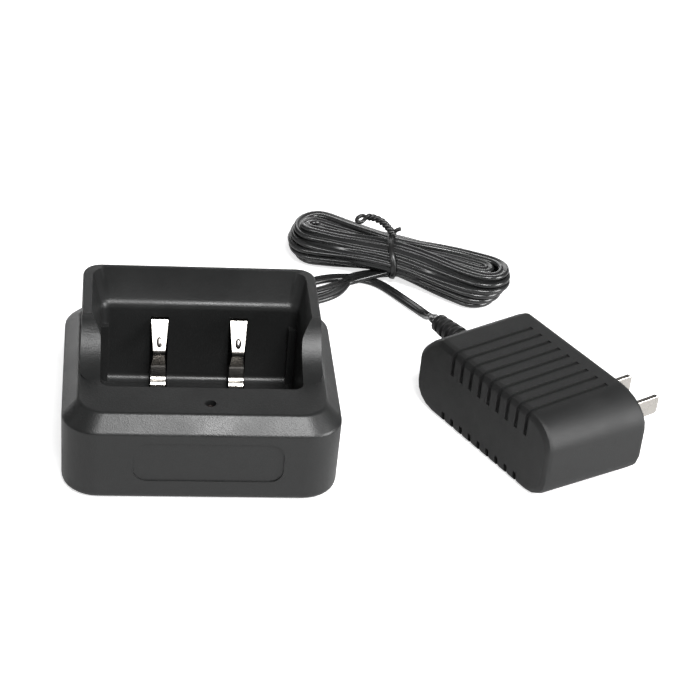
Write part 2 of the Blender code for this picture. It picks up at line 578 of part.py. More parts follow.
def adapter(mats, supply):
    frame = empty("adapter_frame", (ADAPTER_AT[0], ADAPTER_AT[1] - PLUG_BODY_START, -JACK_Z), supply,
                  ADAPTER_TURN)
    h = ADAPTER_H
    case = build("adapter_case", *loft([
        adapter_section(-0.1, 1.3, 1.2),
        adapter_section(0.15, 0.7, 0.7),
        adapter_section(0.9, 0.15, 0.3),
        adapter_section(2.4),
        adapter_section(14.0),
        adapter_section(ADAPTER_BACK - 1.6),
        adapter_section(ADAPTER_BACK - 0.8, 0.12),
        adapter_section(ADAPTER_BACK - 0.25, 0.45),
        adapter_section(ADAPTER_BACK, 0.95),
    ]), mats["adapter"], (16.0, 17.0, 0.0), frame, smooth=35)
    inner = build("adapter_hollow_form", *loft([
        adapter_section(2.0, 3.2),
        adapter_section(3.0, ADAPTER_WALL),
        adapter_section(ADAPTER_BACK + 1.0, ADAPTER_WALL),
    ]), parent=frame, cutter=True)
    grooves = []
    for k in range(GROOVES):
        x = k * GROOVE_PITCH
        half = GROOVE_W / 2
        top = [(30.8, h + 1.0), (30.8, h - 0.4), (29.8, h - 0.8), (2.8, h - 0.8), (1.5, h - 1.4),
               (0.8, h - 2.6),
               (0.75, 20.2), (0.3, 18.9), (-3.0, 18.9), (-3.0, h + 1.0)]
        low = [(30.8, -1.0), (-3.0, -1.0), (-3.0, 4.0), (0.2, 4.0), (0.75, 3.4), (0.8, 2.6), (1.5, 1.4),
               (2.8, 0.8),
               (29.8, 0.8), (30.8, 0.4)]
        grooves.append(prism_x(top, x - half, x + half))
        grooves.append(prism_x(low, x - 1.7 - half, x - 1.7 + half))
    groove = build("groove_form", *merged(grooves), parent=frame, cutter=True)
    relief_hole = build("relief_hole_form", *turned([(-20.0, 3.3), (-10.0, 3.3)], (0, 21.0, 13.4), "X", 12),
                        parent=frame, cutter=True)
    cut(case, inner, groove, relief_hole)

    cover = build("adapter_cover", *loft([
        adapter_section(ADAPTER_SEAM, ADAPTER_WALL + GAP),
        adapter_section(ADAPTER_BACK - 0.5, ADAPTER_WALL + GAP),
        adapter_section(ADAPTER_BACK - 0.2, ADAPTER_WALL + GAP + 0.3),
    ]), mats["adapter"], (16.0, ADAPTER_BACK, 0.0), frame, smooth=35)
    slot = merged([box(bx - BLADE_T / 2 - GAP, bx + BLADE_T / 2 + GAP, 32.0, 40.0,
                       BLADE_Z - BLADE_W / 2 - GAP,
                       BLADE_Z + BLADE_W / 2 + GAP) for bx in BLADE_X])
    cut(cover, build("blade_slot_form", *slot, parent=frame, cutter=True))
    for n, bx in enumerate(BLADE_X):
        half, tip = BLADE_T / 2, ADAPTER_BACK + BLADE_LENGTH
        levels = [(30.0, BLADE_W / 2, half), (tip - 1.1, BLADE_W / 2, half),
                  (tip - 0.35, BLADE_W / 2 - 0.4, half * 0.85),
                  (tip, BLADE_W / 2 - 1.1, half * 0.55)]
        rings = [[(bx - t, y, BLADE_Z - w), (bx + t, y, BLADE_Z - w), (bx + t, y, BLADE_Z + w),
                  (bx - t, y, BLADE_Z + w)][::-1] for y, w, t in levels]
        build(f"plug_blade_{n + 1}", *loft(rings), mats["nickel"], (bx, ADAPTER_BACK, BLADE_Z), frame)

    # Moulded strain relief: a collar, then rings of falling size with necks between them.
    profile = [(-12.5, 2.9), (-16.9, 2.9), (-17.2, 4.6), (-19.6, 4.4), (-21.2, 4.1)]
    for k in range(4):
        at = -21.9 - 3.0 * k
        r = 3.9 - 0.24 * k
        profile += [(at, r - 0.8), (at - 0.9, r - 0.8), (at - 1.1, r), (at - 2.8, r - 0.1)]
    profile += [(-33.7, 2.5), (-34.2, 2.0)]
    build("strain_relief", *turned(profile, (0, 21.0, 13.4), "X", 12), mats["relief"], (-16.9, 21.0, 13.4),
          frame,
          smooth=35)

    deck = 6.0
    build("adapter_board", *box(-11.5, 43.0, 4.0, 29.4, deck, deck + 1.6), mats["board"],
          (15.5, 17.0, deck), frame)
    top = deck + 1.6 + GAP
    core = build("transformer_core", *box(8.0, 26.0, 8.6, 24.4, top, top + 14.5), mats["ferrite"],
                 (17.0, 16.5, top), frame)
    build("transformer_winding", *turned([(2.0, 5.0), (2.4, 5.7), (12.0, 5.7), (12.4, 5.0)],
                                         (17.0, 16.5, top)), mats["tape"],
          (17.0, 16.5, top), frame, smooth=35)
    cut(core, build("winding_room_form", *turned([(-1.0, 6.0), (16.0, 6.0)], (17.0, 16.5, top)), parent=frame,
                    cutter=True))
    for name, x, y, r, tall in (("input_capacitor", 33.5, 11.5, 4.6, 15.0),
                                ("output_capacitor", 0.0, 11.5, 4.0, 13.0)):
        build(name, *turned([(0, r - 0.3), (0.5, r), (1.2, r - 0.25), (1.9, r), (tall - 0.4, r),
                             (tall, r - 0.5)],
                            (x, y, top)), mats["sleeve"], (x, y, top), frame, smooth=35)
    build("line_fuse", *turned([(0, 1.6), (0.4, 1.8), (7.6, 1.8), (8.0, 1.6)], (29.5, 24.5, top + 2.0), "X",
                               10),
          mats["tape"], (29.5, 24.5, top + 2.0), frame, smooth=35)
    build("switch_controller", *stack([(top, -7.0, -1.6, 21.2, 25.2, 0.2),
                                       (top + 1.6, -6.8, -1.8, 21.4, 25.0, 0.2)], 1),
          mats["resin"], (-4.3, 23.2, top), frame)


def main():
    clear_scene()
    mats = {
        "case": material("charcoal_plastic", (0.028, 0.028, 0.029), 0.52),
        "adapter": material("adapter_plastic", (0.020, 0.020, 0.021), 0.48),
        "rubber": material("foot_rubber", (0.03, 0.03, 0.03), 0.85),
        "steel": material("zinc_screw", (0.55, 0.55, 0.56), 0.35, 1.0),
        "nickel": material("nickel_strip", (0.72, 0.70, 0.66), 0.22, 1.0),
        "cord": material("cord_vinyl", (0.018, 0.018, 0.019), 0.35),
        "relief": material("relief_vinyl", (0.02, 0.02, 0.021), 0.5),
        "tie": material("tie_ribbon", (0.014, 0.014, 0.015), 0.42),
        "board": material("board_laminate", (0.05, 0.16, 0.07), 0.5),
        "resin": material("chip_resin", (0.02, 0.02, 0.02), 0.5),
        "sleeve": material("capacitor_sleeve", (0.03, 0.05, 0.14), 0.4),
        "lens": material("led_lens", (0.12, 0.03, 0.02), 0.15),
        "jack": material("jack_resin", (0.02, 0.02, 0.02), 0.45),
        "ferrite": material("ferrite_core", (0.05, 0.05, 0.052), 0.6),
        "tape": material("winding_tape", (0.55, 0.42, 0.10), 0.45),
    }
    cradle = empty("cradle_frame", (CRADLE_AT[0], CRADLE_AT[1], 0))
    cradle_housing(mats["case"], cradle)
    cradle_base(mats["case"], mats["rubber"], mats["steel"], cradle)
    cradle_inside(cradle, mats)
    contact_spring("left", -CONTACT_X, mats["nickel"], cradle)
    contact_spring("right", CONTACT_X, mats["nickel"], cradle)

    supply = empty("supply_slide", (CRADLE_AT[0], CRADLE_AT[1] + PLUG_BODY_START, JACK_Z))
    shift = empty("supply_parts", (0, -PLUG_BODY_START, -JACK_Z), supply)
    plug(mats["relief"], mats["nickel"], shift)
    cord_and_tie(mats, shift)
    adapter(mats, supply)


main()
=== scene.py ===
"""Looks for a handheld-radio desk charger: moulded cradle, spring contacts, bound cord and wall adapter.

Lengths written here are millimetres in the cradle's own frame, whose origin is the middle of its footprint
on the table, unless a name says otherwise.
"""

import json
import math
from collections import namedtuple

import bpy
from mathutils import Matrix, Vector, noise

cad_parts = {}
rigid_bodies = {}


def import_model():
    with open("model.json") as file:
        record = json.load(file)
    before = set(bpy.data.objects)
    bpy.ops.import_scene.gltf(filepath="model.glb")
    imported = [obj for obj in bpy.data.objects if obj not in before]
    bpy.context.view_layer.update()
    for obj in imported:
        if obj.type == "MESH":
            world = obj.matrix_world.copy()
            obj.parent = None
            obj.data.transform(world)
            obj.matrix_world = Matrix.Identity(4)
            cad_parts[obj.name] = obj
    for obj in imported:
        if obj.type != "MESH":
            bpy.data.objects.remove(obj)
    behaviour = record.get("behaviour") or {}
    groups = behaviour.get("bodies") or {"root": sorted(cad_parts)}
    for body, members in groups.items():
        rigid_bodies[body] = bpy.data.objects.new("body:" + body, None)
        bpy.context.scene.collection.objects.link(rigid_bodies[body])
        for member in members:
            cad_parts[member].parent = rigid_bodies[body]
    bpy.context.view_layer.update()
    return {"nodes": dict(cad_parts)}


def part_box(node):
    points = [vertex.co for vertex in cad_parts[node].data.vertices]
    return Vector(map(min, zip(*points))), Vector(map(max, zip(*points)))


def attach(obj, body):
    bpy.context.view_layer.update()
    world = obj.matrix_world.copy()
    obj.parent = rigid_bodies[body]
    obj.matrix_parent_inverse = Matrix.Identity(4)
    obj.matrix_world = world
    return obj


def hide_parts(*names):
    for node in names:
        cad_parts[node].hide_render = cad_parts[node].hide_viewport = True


MM = 0.001
UP = Vector((0.0, 0.0, 1.0))

# Twin-core cord: core radius and spacing, points and half turn of each core's outline, length of one section,
# sections left as drawn at each end, and rounds of smoothing for the line and for the lay of its cores
CORE_R = 1.0
CORE_PITCH = 1.92
LOBE_POINTS = 9
LOBE_TURN = 146.0
CORD_STEP = 1.5
FIXED_ENDS = 6
LINE_ROUNDS = 5
LAY_ROUNDS = 10

# Bundle of loops, in its own frame: s along it, t across it and away from the cradle, z up
BUNDLE_START = (39.6, 113.4)
BUNDLE_END = (109.2, 81.2)

# The waist, where the tie packs the loops round an oval (t, z). Its hold fades with the reach along s, and
# the cores turn to the oval sooner than the loops close in.
WAIST_AT = 35.0
WAIST_REACH = 20.0
INNER_REACH = 23.0
TURN_SOONER = 1.35
OVAL_MIDDLE = (-0.9, 8.35)
OVAL_HALF = (7.9, 5.2)

# How far the loops stray across, the share of that for up and down, and the length over which they stray
LOOP_WANDER = 0.6
WANDER_UP = 0.7
WANDER_RUN = 15.0
SIDE_STEP = 2.0
TURN_STEPS = 14

# Twist tie: the ribbon's section, its clearance round the bundle (t, z), its bow along s, its twisted tail
TIE_WIDTH = 1.9
TIE_THICK = 0.8
TIE_CLEAR = (1.75, 1.7)
TIE_SQUARE = 0.86
TIE_POINTS = 56
TIE_SHIFT = 0.4
TIE_BOW = 3.4
TIE_TOP_LEAN = 1.5
TAIL_WIRE_R = 0.72
TAIL_SIDES = 10
TAIL_SPREAD = 0.9
TAIL_TURNS = 4.5
TAIL_STEP = 0.45
TAIL_LEAN = Vector((0.3, 0.2, 1.0))

# Contact stud: its place in the pocket (y, z), the face's rise (y, z), half sizes, how far it is sunk in, and
# how nearly its rows close at the top
STUD_AT = (12.85, 24.35)
STUD_SLOPE = (4.1, 6.0)
STUD_HALF = (0.95, 1.7, 0.55)
STUD_SINK = 0.12
STUD_CLOSE = 0.98
STUD_ROWS = 6
STUD_SPOKES = 20

# Camera: the standing point, the aim as turns from level, and a long lens
CAMERA_AT = (-31.8, -510.5, 362.7)
CAMERA_YAW = 8.55
CAMERA_PITCH = 32.7
CAMERA_ROLL = 5.8
CAMERA_LENS = 104.2

# Stage: the floor's colour as the camera sees it and as the object feels it, its glow, and the even surround
FLOOR_SEEN = (0.93, 0.93, 0.93)
FLOOR_FELT = (0.72, 0.72, 0.72)
FLOOR_GLOW = 0.72
FLOOR_HALF = 3000.0
SKY_STRENGTH = 0.08


# ---------------------------------------------------------------- frame and small helpers

def cradle_origin():
    """The middle of the cradle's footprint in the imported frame, in metres."""
    low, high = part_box("top_housing")
    return Vector(((low.x + high.x) / 2, (low.y + high.y) / 2, 0.0))


def place(points, origin):
    """Millimetres in the cradle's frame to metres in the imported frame."""
    return [origin + Vector(p) * MM for p in points]


def mesh_object(name, verts, faces, mat, smooth=True):
    mesh = bpy.data.meshes.new(name)
    mesh.from_pydata([tuple(v) for v in verts], [], faces)
    mesh.validate()
    mesh.update()
    if smooth:
        mesh.shade_smooth()
    mesh.materials.append(mat)
    made = bpy.data.objects.new(name, mesh)
    bpy.context.scene.collection.objects.link(made)
    return made


def catmull(points, per_span):
    """A smooth line through the points."""
    pts = [Vector(p) for p in points]
    pts = [2 * pts[0] - pts[1]] + pts + [2 * pts[-1] - pts[-2]]
    out = []
    for k in range(1, len(pts) - 2):
        a, b, c, d = pts[k - 1:k + 3]
        for step in range(per_span):
            u = step / per_span
            out.append(0.5 * (2 * b + (c - a) * u + (2 * a - 5 * b + 4 * c - d) * u ** 2
                              + (3 * b - a - 3 * c + d) * u ** 3))
    out.append(pts[-2])
    return out


def even_places(points, step):
    """Places about one step apart along a line: the number of the point before each, and the share of the way
    from it to the next."""
    lengths = [0.0]
    for a, b in zip(points, points[1:]):
        lengths.append(lengths[-1] + (b - a).length)
    count = max(2, round(lengths[-1] / step))
    out, k = [], 0
    for n in range(count + 1):
        want = lengths[-1] * n / count
        while k < len(lengths) - 2 and lengths[k + 1] < want:
            k += 1
        span = max(1e-9, lengths[k + 1] - lengths[k])
        out.append((k, min(1.0, max(0.0, (want - lengths[k]) / span))))
    return out


def resample(points, step):
    """The same line with its points about one step apart."""
    return [points[k].lerp(points[k + 1], u) for k, u in even_places(points, step)]


def relax(values, rounds):
    """Evens out kinks while the two ends stay where they are."""
    vals = [v.copy() for v in values]
    for _ in range(rounds):
        inner = [vals[k] * 0.5 + (vals[k - 1] + vals[k + 1]) * 0.25 for k in range(1, len(vals) - 1)]
        vals = [vals[0]] + inner + [vals[-1]]
    return vals


def tangents(path):
    out = []
    for k in range(len(path)):
        out.append((path[min(k + 1, len(path) - 1)] - path[max(k - 1, 0)]).normalized())
    return out


def sweep(name, path, sides, profile, mat, origin, closed=False):
    """A tube: profile points (across, up) carried along path. sides gives each section's across direction.
    closed joins the last section to the first; otherwise both ends are capped."""
    heads = tangents(path)
    if closed:
        heads[0] = heads[-1] = (path[1] - path[-2]).normalized()
        path, heads, sides = path[:-1], heads[:-1], sides[:-1]
    verts, faces = [], []
    n = len(profile)
    for p, head, side in zip(path, heads, sides):
        across = (side - head * side.dot(head)).normalized()
        up = head.cross(across)
        verts += [p + across * a + up * b for a, b in profile]
    rows = len(path)
    for r in range(rows if closed else rows - 1):
        here, there = r * n, ((r + 1) % rows) * n
        faces += [(here + k, here + (k + 1) % n, there + (k + 1) % n, there + k) for k in range(n)]
    if not closed:
        faces += [tuple(reversed(range(n))), tuple(range((rows - 1) * n, rows * n))]
    return mesh_object(name, place(verts, origin), faces, mat)


def ring_profile(r, count):
    angles = [2 * math.pi * k / count for k in range(count)]
    return [(r * math.cos(a), r * math.sin(a)) for a in angles]


def slab_profile(width, thick):
    """A flat strip's section with its edges rounded off."""
    w, t, c = width / 2, thick / 2, thick * 0.32
    return [(w, -t + c), (w, t - c), (w - c, t), (0.0, t * 1.25), (-w + c, t), (-w, t - c),
            (-w, -t + c), (-w + c, -t), (0.0, -t), (w - c, -t)]


def twin_profile():
    """The two insulated cores side by side, joined by a thin web."""
    out = []
    for sign in (1, -1):
        for k in range(LOBE_POINTS):
            a = math.radians(-LOBE_TURN + 2 * LOBE_TURN * k / (LOBE_POINTS - 1))
            out.append((sign * (CORE_PITCH / 2 + CORE_R * math.cos(a)), sign * CORE_R * math.sin(a)))
    return out


# ---------------------------------------------------------------- materials

def new_material(name):
    mat = bpy.data.materials.new(name)
    mat.use_nodes = True
    nodes, links = mat.node_tree.nodes, mat.node_tree.links
    shader = nodes["Principled BSDF"] if "Principled BSDF" in nodes else nodes.new("ShaderNodeBsdfPrincipled")
    return mat, nodes, links, shader


def add(nodes, kind, **inputs):
    """A shader node with the given attributes and, for names that match a socket, input values."""
    node = nodes.new(kind)
    for key, value in inputs.items():
        socket = node.inputs.get(key.replace("_", " ").title())
        if socket is not None and not hasattr(node, key):
            socket.default_value = value
        else:
            setattr(node, key, value)
    return node


def textured(name, dark, light, rough, metallic=0.0, grain=0.4, relief=0.12, mottle=12.0, scratches=0.0,
             coat=0.0):
    """A procedural finish: a soft mottle from dark to light, moulded grain in the bump, uneven roughness.

    grain is the grain's size, relief its height and mottle the size of the soft colour change, all in
    millimetres; scratches adds fine long marks in the roughness.
    """
    mat, nodes, links, shader = new_material(name)
    coords = add(nodes, "ShaderNodeTexCoord")
    cloud = add(nodes, "ShaderNodeTexNoise", scale=1.0 / (mottle * MM), detail=4.0, roughness=0.6)
    fine = add(nodes, "ShaderNodeTexNoise", scale=1.0 / (grain * MM), detail=3.0, roughness=0.7)
    pits = add(nodes, "ShaderNodeTexVoronoi", scale=0.62 / (grain * MM))
    for texture in (cloud, fine, pits):
        links.new(coords.outputs["Object"], texture.inputs["Vector"])

    tint = add(nodes, "ShaderNodeMixRGB", blend_type="MIX")
    tint.inputs["Color1"].default_value = (*dark, 1.0)
    tint.inputs["Color2"].default_value = (*light, 1.0)
    both = add(nodes, "ShaderNodeMath", operation="MULTIPLY_ADD")
    both.inputs[1].default_value = 0.45
    links.new(fine.outputs["Fac"], both.inputs[0])
    soften = add(nodes, "ShaderNodeMath", operation="MULTIPLY")
    soften.inputs[1].default_value = 0.55
    links.new(cloud.outputs["Fac"], soften.inputs[0])
    links.new(soften.outputs[0], both.inputs[2])
    links.new(both.outputs[0], tint.inputs["Fac"])
    links.new(tint.outputs[0], shader.inputs["Base Color"])

    spread = add(nodes, "ShaderNodeMapRange")
    spread.inputs["From Min"].default_value = 0.3
    spread.inputs["From Max"].default_value = 0.7
    spread.inputs["To Min"].default_value = rough - 0.05
    spread.inputs["To Max"].default_value = rough + 0.06
    links.new(cloud.outputs["Fac"], spread.inputs["Value"])
    last = spread.outputs[0]
    if scratches:
        stretch = add(nodes, "ShaderNodeMapping")
        stretch.inputs["Scale"].default_value = (900.0, 60.0, 900.0)
        lines = add(nodes, "ShaderNodeTexNoise", scale=2.2, detail=2.0)
        links.new(coords.outputs["Object"], stretch.inputs["Vector"])
        links.new(stretch.outputs[0], lines.inputs["Vector"])
        blend = add(nodes, "ShaderNodeMath", operation="MULTIPLY_ADD")
        blend.inputs[1].default_value = scratches
        links.new(lines.outputs["Fac"], blend.inputs[0])
        links.new(last, blend.inputs[2])
        last = blend.outputs[0]
    links.new(last, shader.inputs["Roughness"])

    height = add(nodes, "ShaderNodeMath", operation="MULTIPLY_ADD")
    height.inputs[1].default_value = 0.6
    links.new(pits.outputs["Distance"], height.inputs[0])
    links.new(fine.outputs["Fac"], height.inputs[2])
    bump = add(nodes, "ShaderNodeBump")
    bump.inputs["Strength"].default_value = 1.0
    bump.inputs["Distance"].default_value = relief * MM
    links.new(height.outputs[0], bump.inputs["Height"])
    links.new(bump.outputs[0], shader.inputs["Normal"])

    shader.inputs["Metallic"].default_value = metallic
    shader.inputs["Coat Weight"].default_value = coat
    shader.inputs["Coat Roughness"].default_value = 0.25
    return mat


def make_materials():
    return {
        "housing": textured("charcoal_housing", (0.0105, 0.0108, 0.0108), (0.0185, 0.019, 0.019), 0.37,
                            grain=0.34, relief=0.035, mottle=16.0),
        "adapter": textured("charcoal_adapter", (0.0080, 0.0083, 0.0083), (0.014, 0.0143, 0.0143), 0.57,
                            grain=0.30, relief=0.03, mottle=14.0),
        "base": textured("charcoal_base", (0.011, 0.011, 0.011), (0.018, 0.018, 0.018), 0.55, grain=0.4),
        "vinyl": textured("cord_vinyl", (0.010, 0.0102, 0.0104), (0.018, 0.0184, 0.0186), 0.25,
                          grain=0.9, relief=0.012, mottle=9.0, coat=0.25),
        "relief": textured("relief_vinyl", (0.008, 0.008, 0.008), (0.015, 0.015, 0.015), 0.42,
                           grain=0.4, relief=0.03, mottle=5.0),
        "tie": textured("tie_plastic", (0.007, 0.007, 0.007), (0.014, 0.014, 0.014), 0.36,
                        grain=0.5, relief=0.02, mottle=4.0, coat=0.2),
        "nickel": textured("nickel_contact", (0.46, 0.437, 0.405), (0.66, 0.63, 0.595), 0.20, metallic=1.0,
                           grain=0.5, relief=0.0012, mottle=5.0, scratches=0.05),
        "blade": textured("nickel_blade", (0.46, 0.44, 0.41), (0.66, 0.63, 0.59), 0.25, metallic=1.0,
                          grain=0.4, relief=0.002, mottle=4.0, scratches=0.08),
        "steel": textured("screw_steel", (0.28, 0.28, 0.27), (0.45, 0.44, 0.43), 0.35, metallic=1.0,
                          grain=0.2, relief=0.01, mottle=1.5),
        "rubber": textured("foot_rubber", (0.010, 0.010, 0.010), (0.020, 0.020, 0.020), 0.82,
                           grain=0.25, relief=0.05, mottle=3.0),
        "board": textured("board_laminate", (0.006, 0.045, 0.016), (0.012, 0.075, 0.030), 0.38,
                          grain=0.5, relief=0.015, mottle=2.6, coat=0.4),
        "resin": textured("chip_resin", (0.010, 0.010, 0.011), (0.018, 0.018, 0.019), 0.5,
                          grain=0.15, relief=0.012),
        "sleeve": textured("capacitor_sleeve", (0.010, 0.012, 0.035), (0.018, 0.022, 0.055), 0.3,
                           grain=0.6, relief=0.01, mottle=3.0, coat=0.3),
        "core": textured("core_steel", (0.10, 0.10, 0.10), (0.18, 0.175, 0.17), 0.45, metallic=1.0,
                         grain=0.3, relief=0.02, mottle=2.0, scratches=0.2),
        "winding": textured("winding_tape", (0.30, 0.20, 0.035), (0.42, 0.29, 0.06), 0.35,
                            grain=0.5, relief=0.02, mottle=3.0, coat=0.3),
        "fuse": textured("fuse_ceramic", (0.45, 0.43, 0.38), (0.60, 0.58, 0.52), 0.4, grain=0.3, relief=0.01),
        "lens": textured("led_lens", (0.012, 0.008, 0.007), (0.022, 0.013, 0.011), 0.12,
                         grain=0.5, relief=0.004, mottle=1.0, coat=0.6),
        "jack": textured("jack_plastic", (0.012, 0.012, 0.012), (0.020, 0.020, 0.020), 0.45,
                         grain=0.3, relief=0.02),
    }


NODE_FINISH = {
    "top_housing": "housing", "bottom_cover": "base", "charge_board": "board", "charge_controller": "resin",
    "drive_transistor": "resin", "sense_resistor": "resin", "board_capacitor": "sleeve", "status_led": "lens",
    "power_jack": "jack", "jack_pin": "nickel", "contact_lead_left": "nickel", "contact_lead_right": "nickel",
    "contact_spring_left": "nickel", "contact_spring_right": "nickel", "plug_barrel": "nickel",
    "plug_body": "relief", "strain_relief": "relief", "adapter_case": "adapter", "adapter_cover": "adapter",
    "plug_blade_1": "blade", "plug_blade_2": "blade", "adapter_board": "board", "transformer_core": "core",
    "transformer_winding": "winding", "input_capacitor": "sleeve", "output_capacitor": "sleeve",
    "line_fuse": "fuse", "switch_controller": "resin",
}
# Edge rounding in millimetres: the usual one, and the nodes that differ from it
USUAL_EDGE = 0.12
NODE_EDGE = {
    "top_housing": 0.22, "bottom_cover": 0.2, "adapter_case": 0.34, "adapter_cover": 0.25,
    "contact_spring_left": 0.09, "contact_spring_right": 0.09, "plug_blade_1": 0.14, "plug_blade_2": 0.14,
    "plug_body": 0.15,
}
SHARP_EDGE = 30.0
ROUNDED_EDGE = 32.0
FLAT_WITHIN = 0.6
SAME_CORNER = 2e-6


def shell_group():
    """Joins a shell's faces at shared corners and shades it smooth, apart from its sharp edges."""
    group = bpy.data.node_groups.new("smooth_shell", "GeometryNodeTree")
    group.interface.new_socket("Geometry", in_out="INPUT", socket_type="NodeSocketGeometry")
    group.interface.new_socket("Geometry", in_out="OUTPUT", socket_type="NodeSocketGeometry")
    nodes, links = group.nodes, group.links
    start, end = nodes.new("NodeGroupInput"), nodes.new("NodeGroupOutput")
    merge = nodes.new("GeometryNodeMergeByDistance")
    merge.inputs["Distance"].default_value = SAME_CORNER
    edge = nodes.new("GeometryNodeInputMeshEdgeAngle")
    sharper = nodes.new("FunctionNodeCompare")
    sharper.data_type = "FLOAT"
    sharper.operation = "GREATER_THAN"
    sharper.inputs["B"].default_value = math.radians(SHARP_EDGE)
    shade = nodes.new("GeometryNodeSetMeshNormal")
    shade.mode = "SHARPNESS"
    shade.inputs["Remove Custom"].default_value = True
    shade.inputs["Face Sharpness"].default_value = False
    links.new(start.outputs[0], merge.inputs[0])
    links.new(edge.outputs["Unsigned Angle"], sharper.inputs["A"])
    links.new(sharper.outputs[0], shade.inputs["Edge Sharpness"])
    links.new(merge.outputs[0], shade.inputs["Mesh"])
    links.new(shade.outputs[0], end.inputs[0])
    return group


def finish_of(name):
    """The finish of a carried node, or None for the cord and the tie, which are drawn anew."""
    if name.startswith("rubber_foot"):
        return "rubber"
    if name.startswith("housing_screw"):
        return "steel"
    return NODE_FINISH.get(name)


def dress_nodes(nodes, mats):
    """Gives each carried node its finish, rounds its edges and smooths its shading."""
    shell = shell_group()
    for name, node in nodes.items():
        finish = finish_of(name)
        if finish is None:
            continue
        node.data.materials.clear()
        node.data.materials.append(mats[finish])
        smooth = node.modifiers.new("shell", "NODES")
        smooth.node_group = shell
        flat = node.modifiers.new("flatten", "DECIMATE")
        flat.decimate_type = "DISSOLVE"
        flat.angle_limit = math.radians(FLAT_WITHIN)
        edge = node.modifiers.new("edge", "BEVEL")
        edge.width = NODE_EDGE.get(name, USUAL_EDGE) * MM
        edge.segments = 2
        edge.limit_method = "ANGLE"
        edge.angle_limit = math.radians(ROUNDED_EDGE)
        edge.use_clamp_overlap = True
        edge.harden_normals = False
        weight = node.modifiers.new("normals", "WEIGHTED_NORMAL")
        weight.keep_sharp = True


# ---------------------------------------------------------------- cord

def bundle_axes():
    start = Vector((*BUNDLE_START, 0.0))
    along = Vector((*BUNDLE_END, 0.0)) - start
    along.normalize()
    return start, along, Vector((-along.y, along.x, 0.0))


def bundle_point(s, t, z):
    start, along, across = bundle_axes()
    return start + along * s + across * t + Vector((0, 0, z))


# Loops in winding order. At the ends they lie flat on one another; where the tie holds them they are packed
# round an oval. left and right are where a loop turns (s). near and far are how far its two sides reach
# across (t), at the left and right ends, and z_l and z_r its heights there. angle is the near side's place
# on the oval, from the far side over the top, and out is how far out on the oval it sits.
Loop = namedtuple("Loop", "left right near_l far_l near_r far_r z_l z_r angle out")
LOOPS = [Loop(*row) for row in (
    (9.0, 67.0, 3.6, 3.0, 4.4, 2.8, 4.0, 3.4, 232.0, 0.5),
    (7.0, 69.0, 4.6, 3.6, 5.6, 3.2, 7.4, 6.4, 180.0, 0.45),
    (4.2, 70.8, 2.3, 2.8, 3.1, 2.5, 12.3, 11.4, 100.0, 0.75),
    (0.6, 75.6, 6.0, 6.3, 7.0, 5.8, 13.0, 11.8, 104.0, 1.0),
    (-0.4, 76.4, 8.1, 6.7, 8.9, 6.4, 11.0, 9.9, 131.0, 1.0),
    (-1.1, 76.6, 9.7, 7.1, 10.2, 6.4, 8.9, 8.0, 158.0, 1.0),
    (-1.6, 75.3, 10.8, 6.6, 10.8, 6.0, 6.7, 6.1, 185.0, 1.0),
    (-0.5, 74.2, 10.7, 5.8, 11.1, 5.4, 4.4, 4.0, 212.0, 1.0),
    (1.8, 72.4, 9.6, 4.8, 10.9, 4.4, 2.1, 1.9, 243.0, 1.0),
)]
# The run over which a loop's side goes from its left size to its right one, and where the winding starts
# and ends, counted from the waist
SIDE_FROM = 8.0
SIDE_RUN = 58.0
WOUND_FROM = 6.0
WOUND_TO = 10.0


def waist_share(s, out):
    """How far the tie's hold pulls a loop in at s; the inner loops close up over a longer run."""
    reach = WAIST_REACH if out == 1.0 else INNER_REACH
    return math.exp(-((s - WAIST_AT) / reach) ** 2)


def oval_place(angle, out):
    """Across and up at the waist."""
    a = math.radians(angle)
    return (OVAL_MIDDLE[0] + OVAL_HALF[0] * out * math.cos(a),
            OVAL_MIDDLE[1] + OVAL_HALF[1] * out * math.sin(a))


def side_pair(number, s, sign):
    """Point and lay on one side of a loop at s, sign -1 for the near side and 1 for the far one. The lay is
    flat at the ends and turns to follow the oval's edge at the waist."""
    loop = LOOPS[number]
    _, _, across = bundle_axes()
    u = min(1.0, max(0.0, (s - SIDE_FROM) / SIDE_RUN))
    reaches = (loop.near_l, loop.near_r) if sign < 0 else (loop.far_l, loop.far_r)
    end_t = reaches[0] + (reaches[1] - reaches[0]) * u
    end_z = loop.z_l + (loop.z_r - loop.z_l) * u
    angle = loop.angle if sign < 0 else 180.0 - loop.angle
    held_t, held_z = oval_place(angle, loop.out)
    w = waist_share(s, loop.out)
    # each side of each loop strays in its own way
    seed = Vector((s / WANDER_RUN, number * 3.1, sign * 7.7))
    t = sign * end_t * (1 - w) + held_t * w + noise.noise(seed) * LOOP_WANDER
    z = end_z * (1 - w) + held_z * w + noise.noise(seed + 31.0 * UP) * LOOP_WANDER * WANDER_UP
    a = math.radians(angle)
    edge_t, edge_z = -math.sin(a) * OVAL_HALF[0], math.cos(a) * OVAL_HALF[1]
    size = math.copysign(math.hypot(edge_t, edge_z), -edge_t)
    hold = min(1.0, w * TURN_SOONER)
    lay = across * (hold - 1 + edge_t / size * hold) + UP * (edge_z / size * hold)
    return bundle_point(s, t, z), lay.normalized() * -sign


def right_turn(loop):
    """Pairs round a loop's right end, from the near side to the far one."""
    _, along, across = bundle_axes()
    reach, middle = (loop.near_r + loop.far_r) / 2, (loop.far_r - loop.near_r) / 2
    pairs = []
    for step in range(1, TURN_STEPS):
        a = math.pi * step / TURN_STEPS
        point = bundle_point(loop.right - reach + reach * math.sin(a), middle - reach * math.cos(a), loop.z_r)
        pairs.append((point, (along * math.sin(a) - across * math.cos(a)).normalized()))
    return pairs


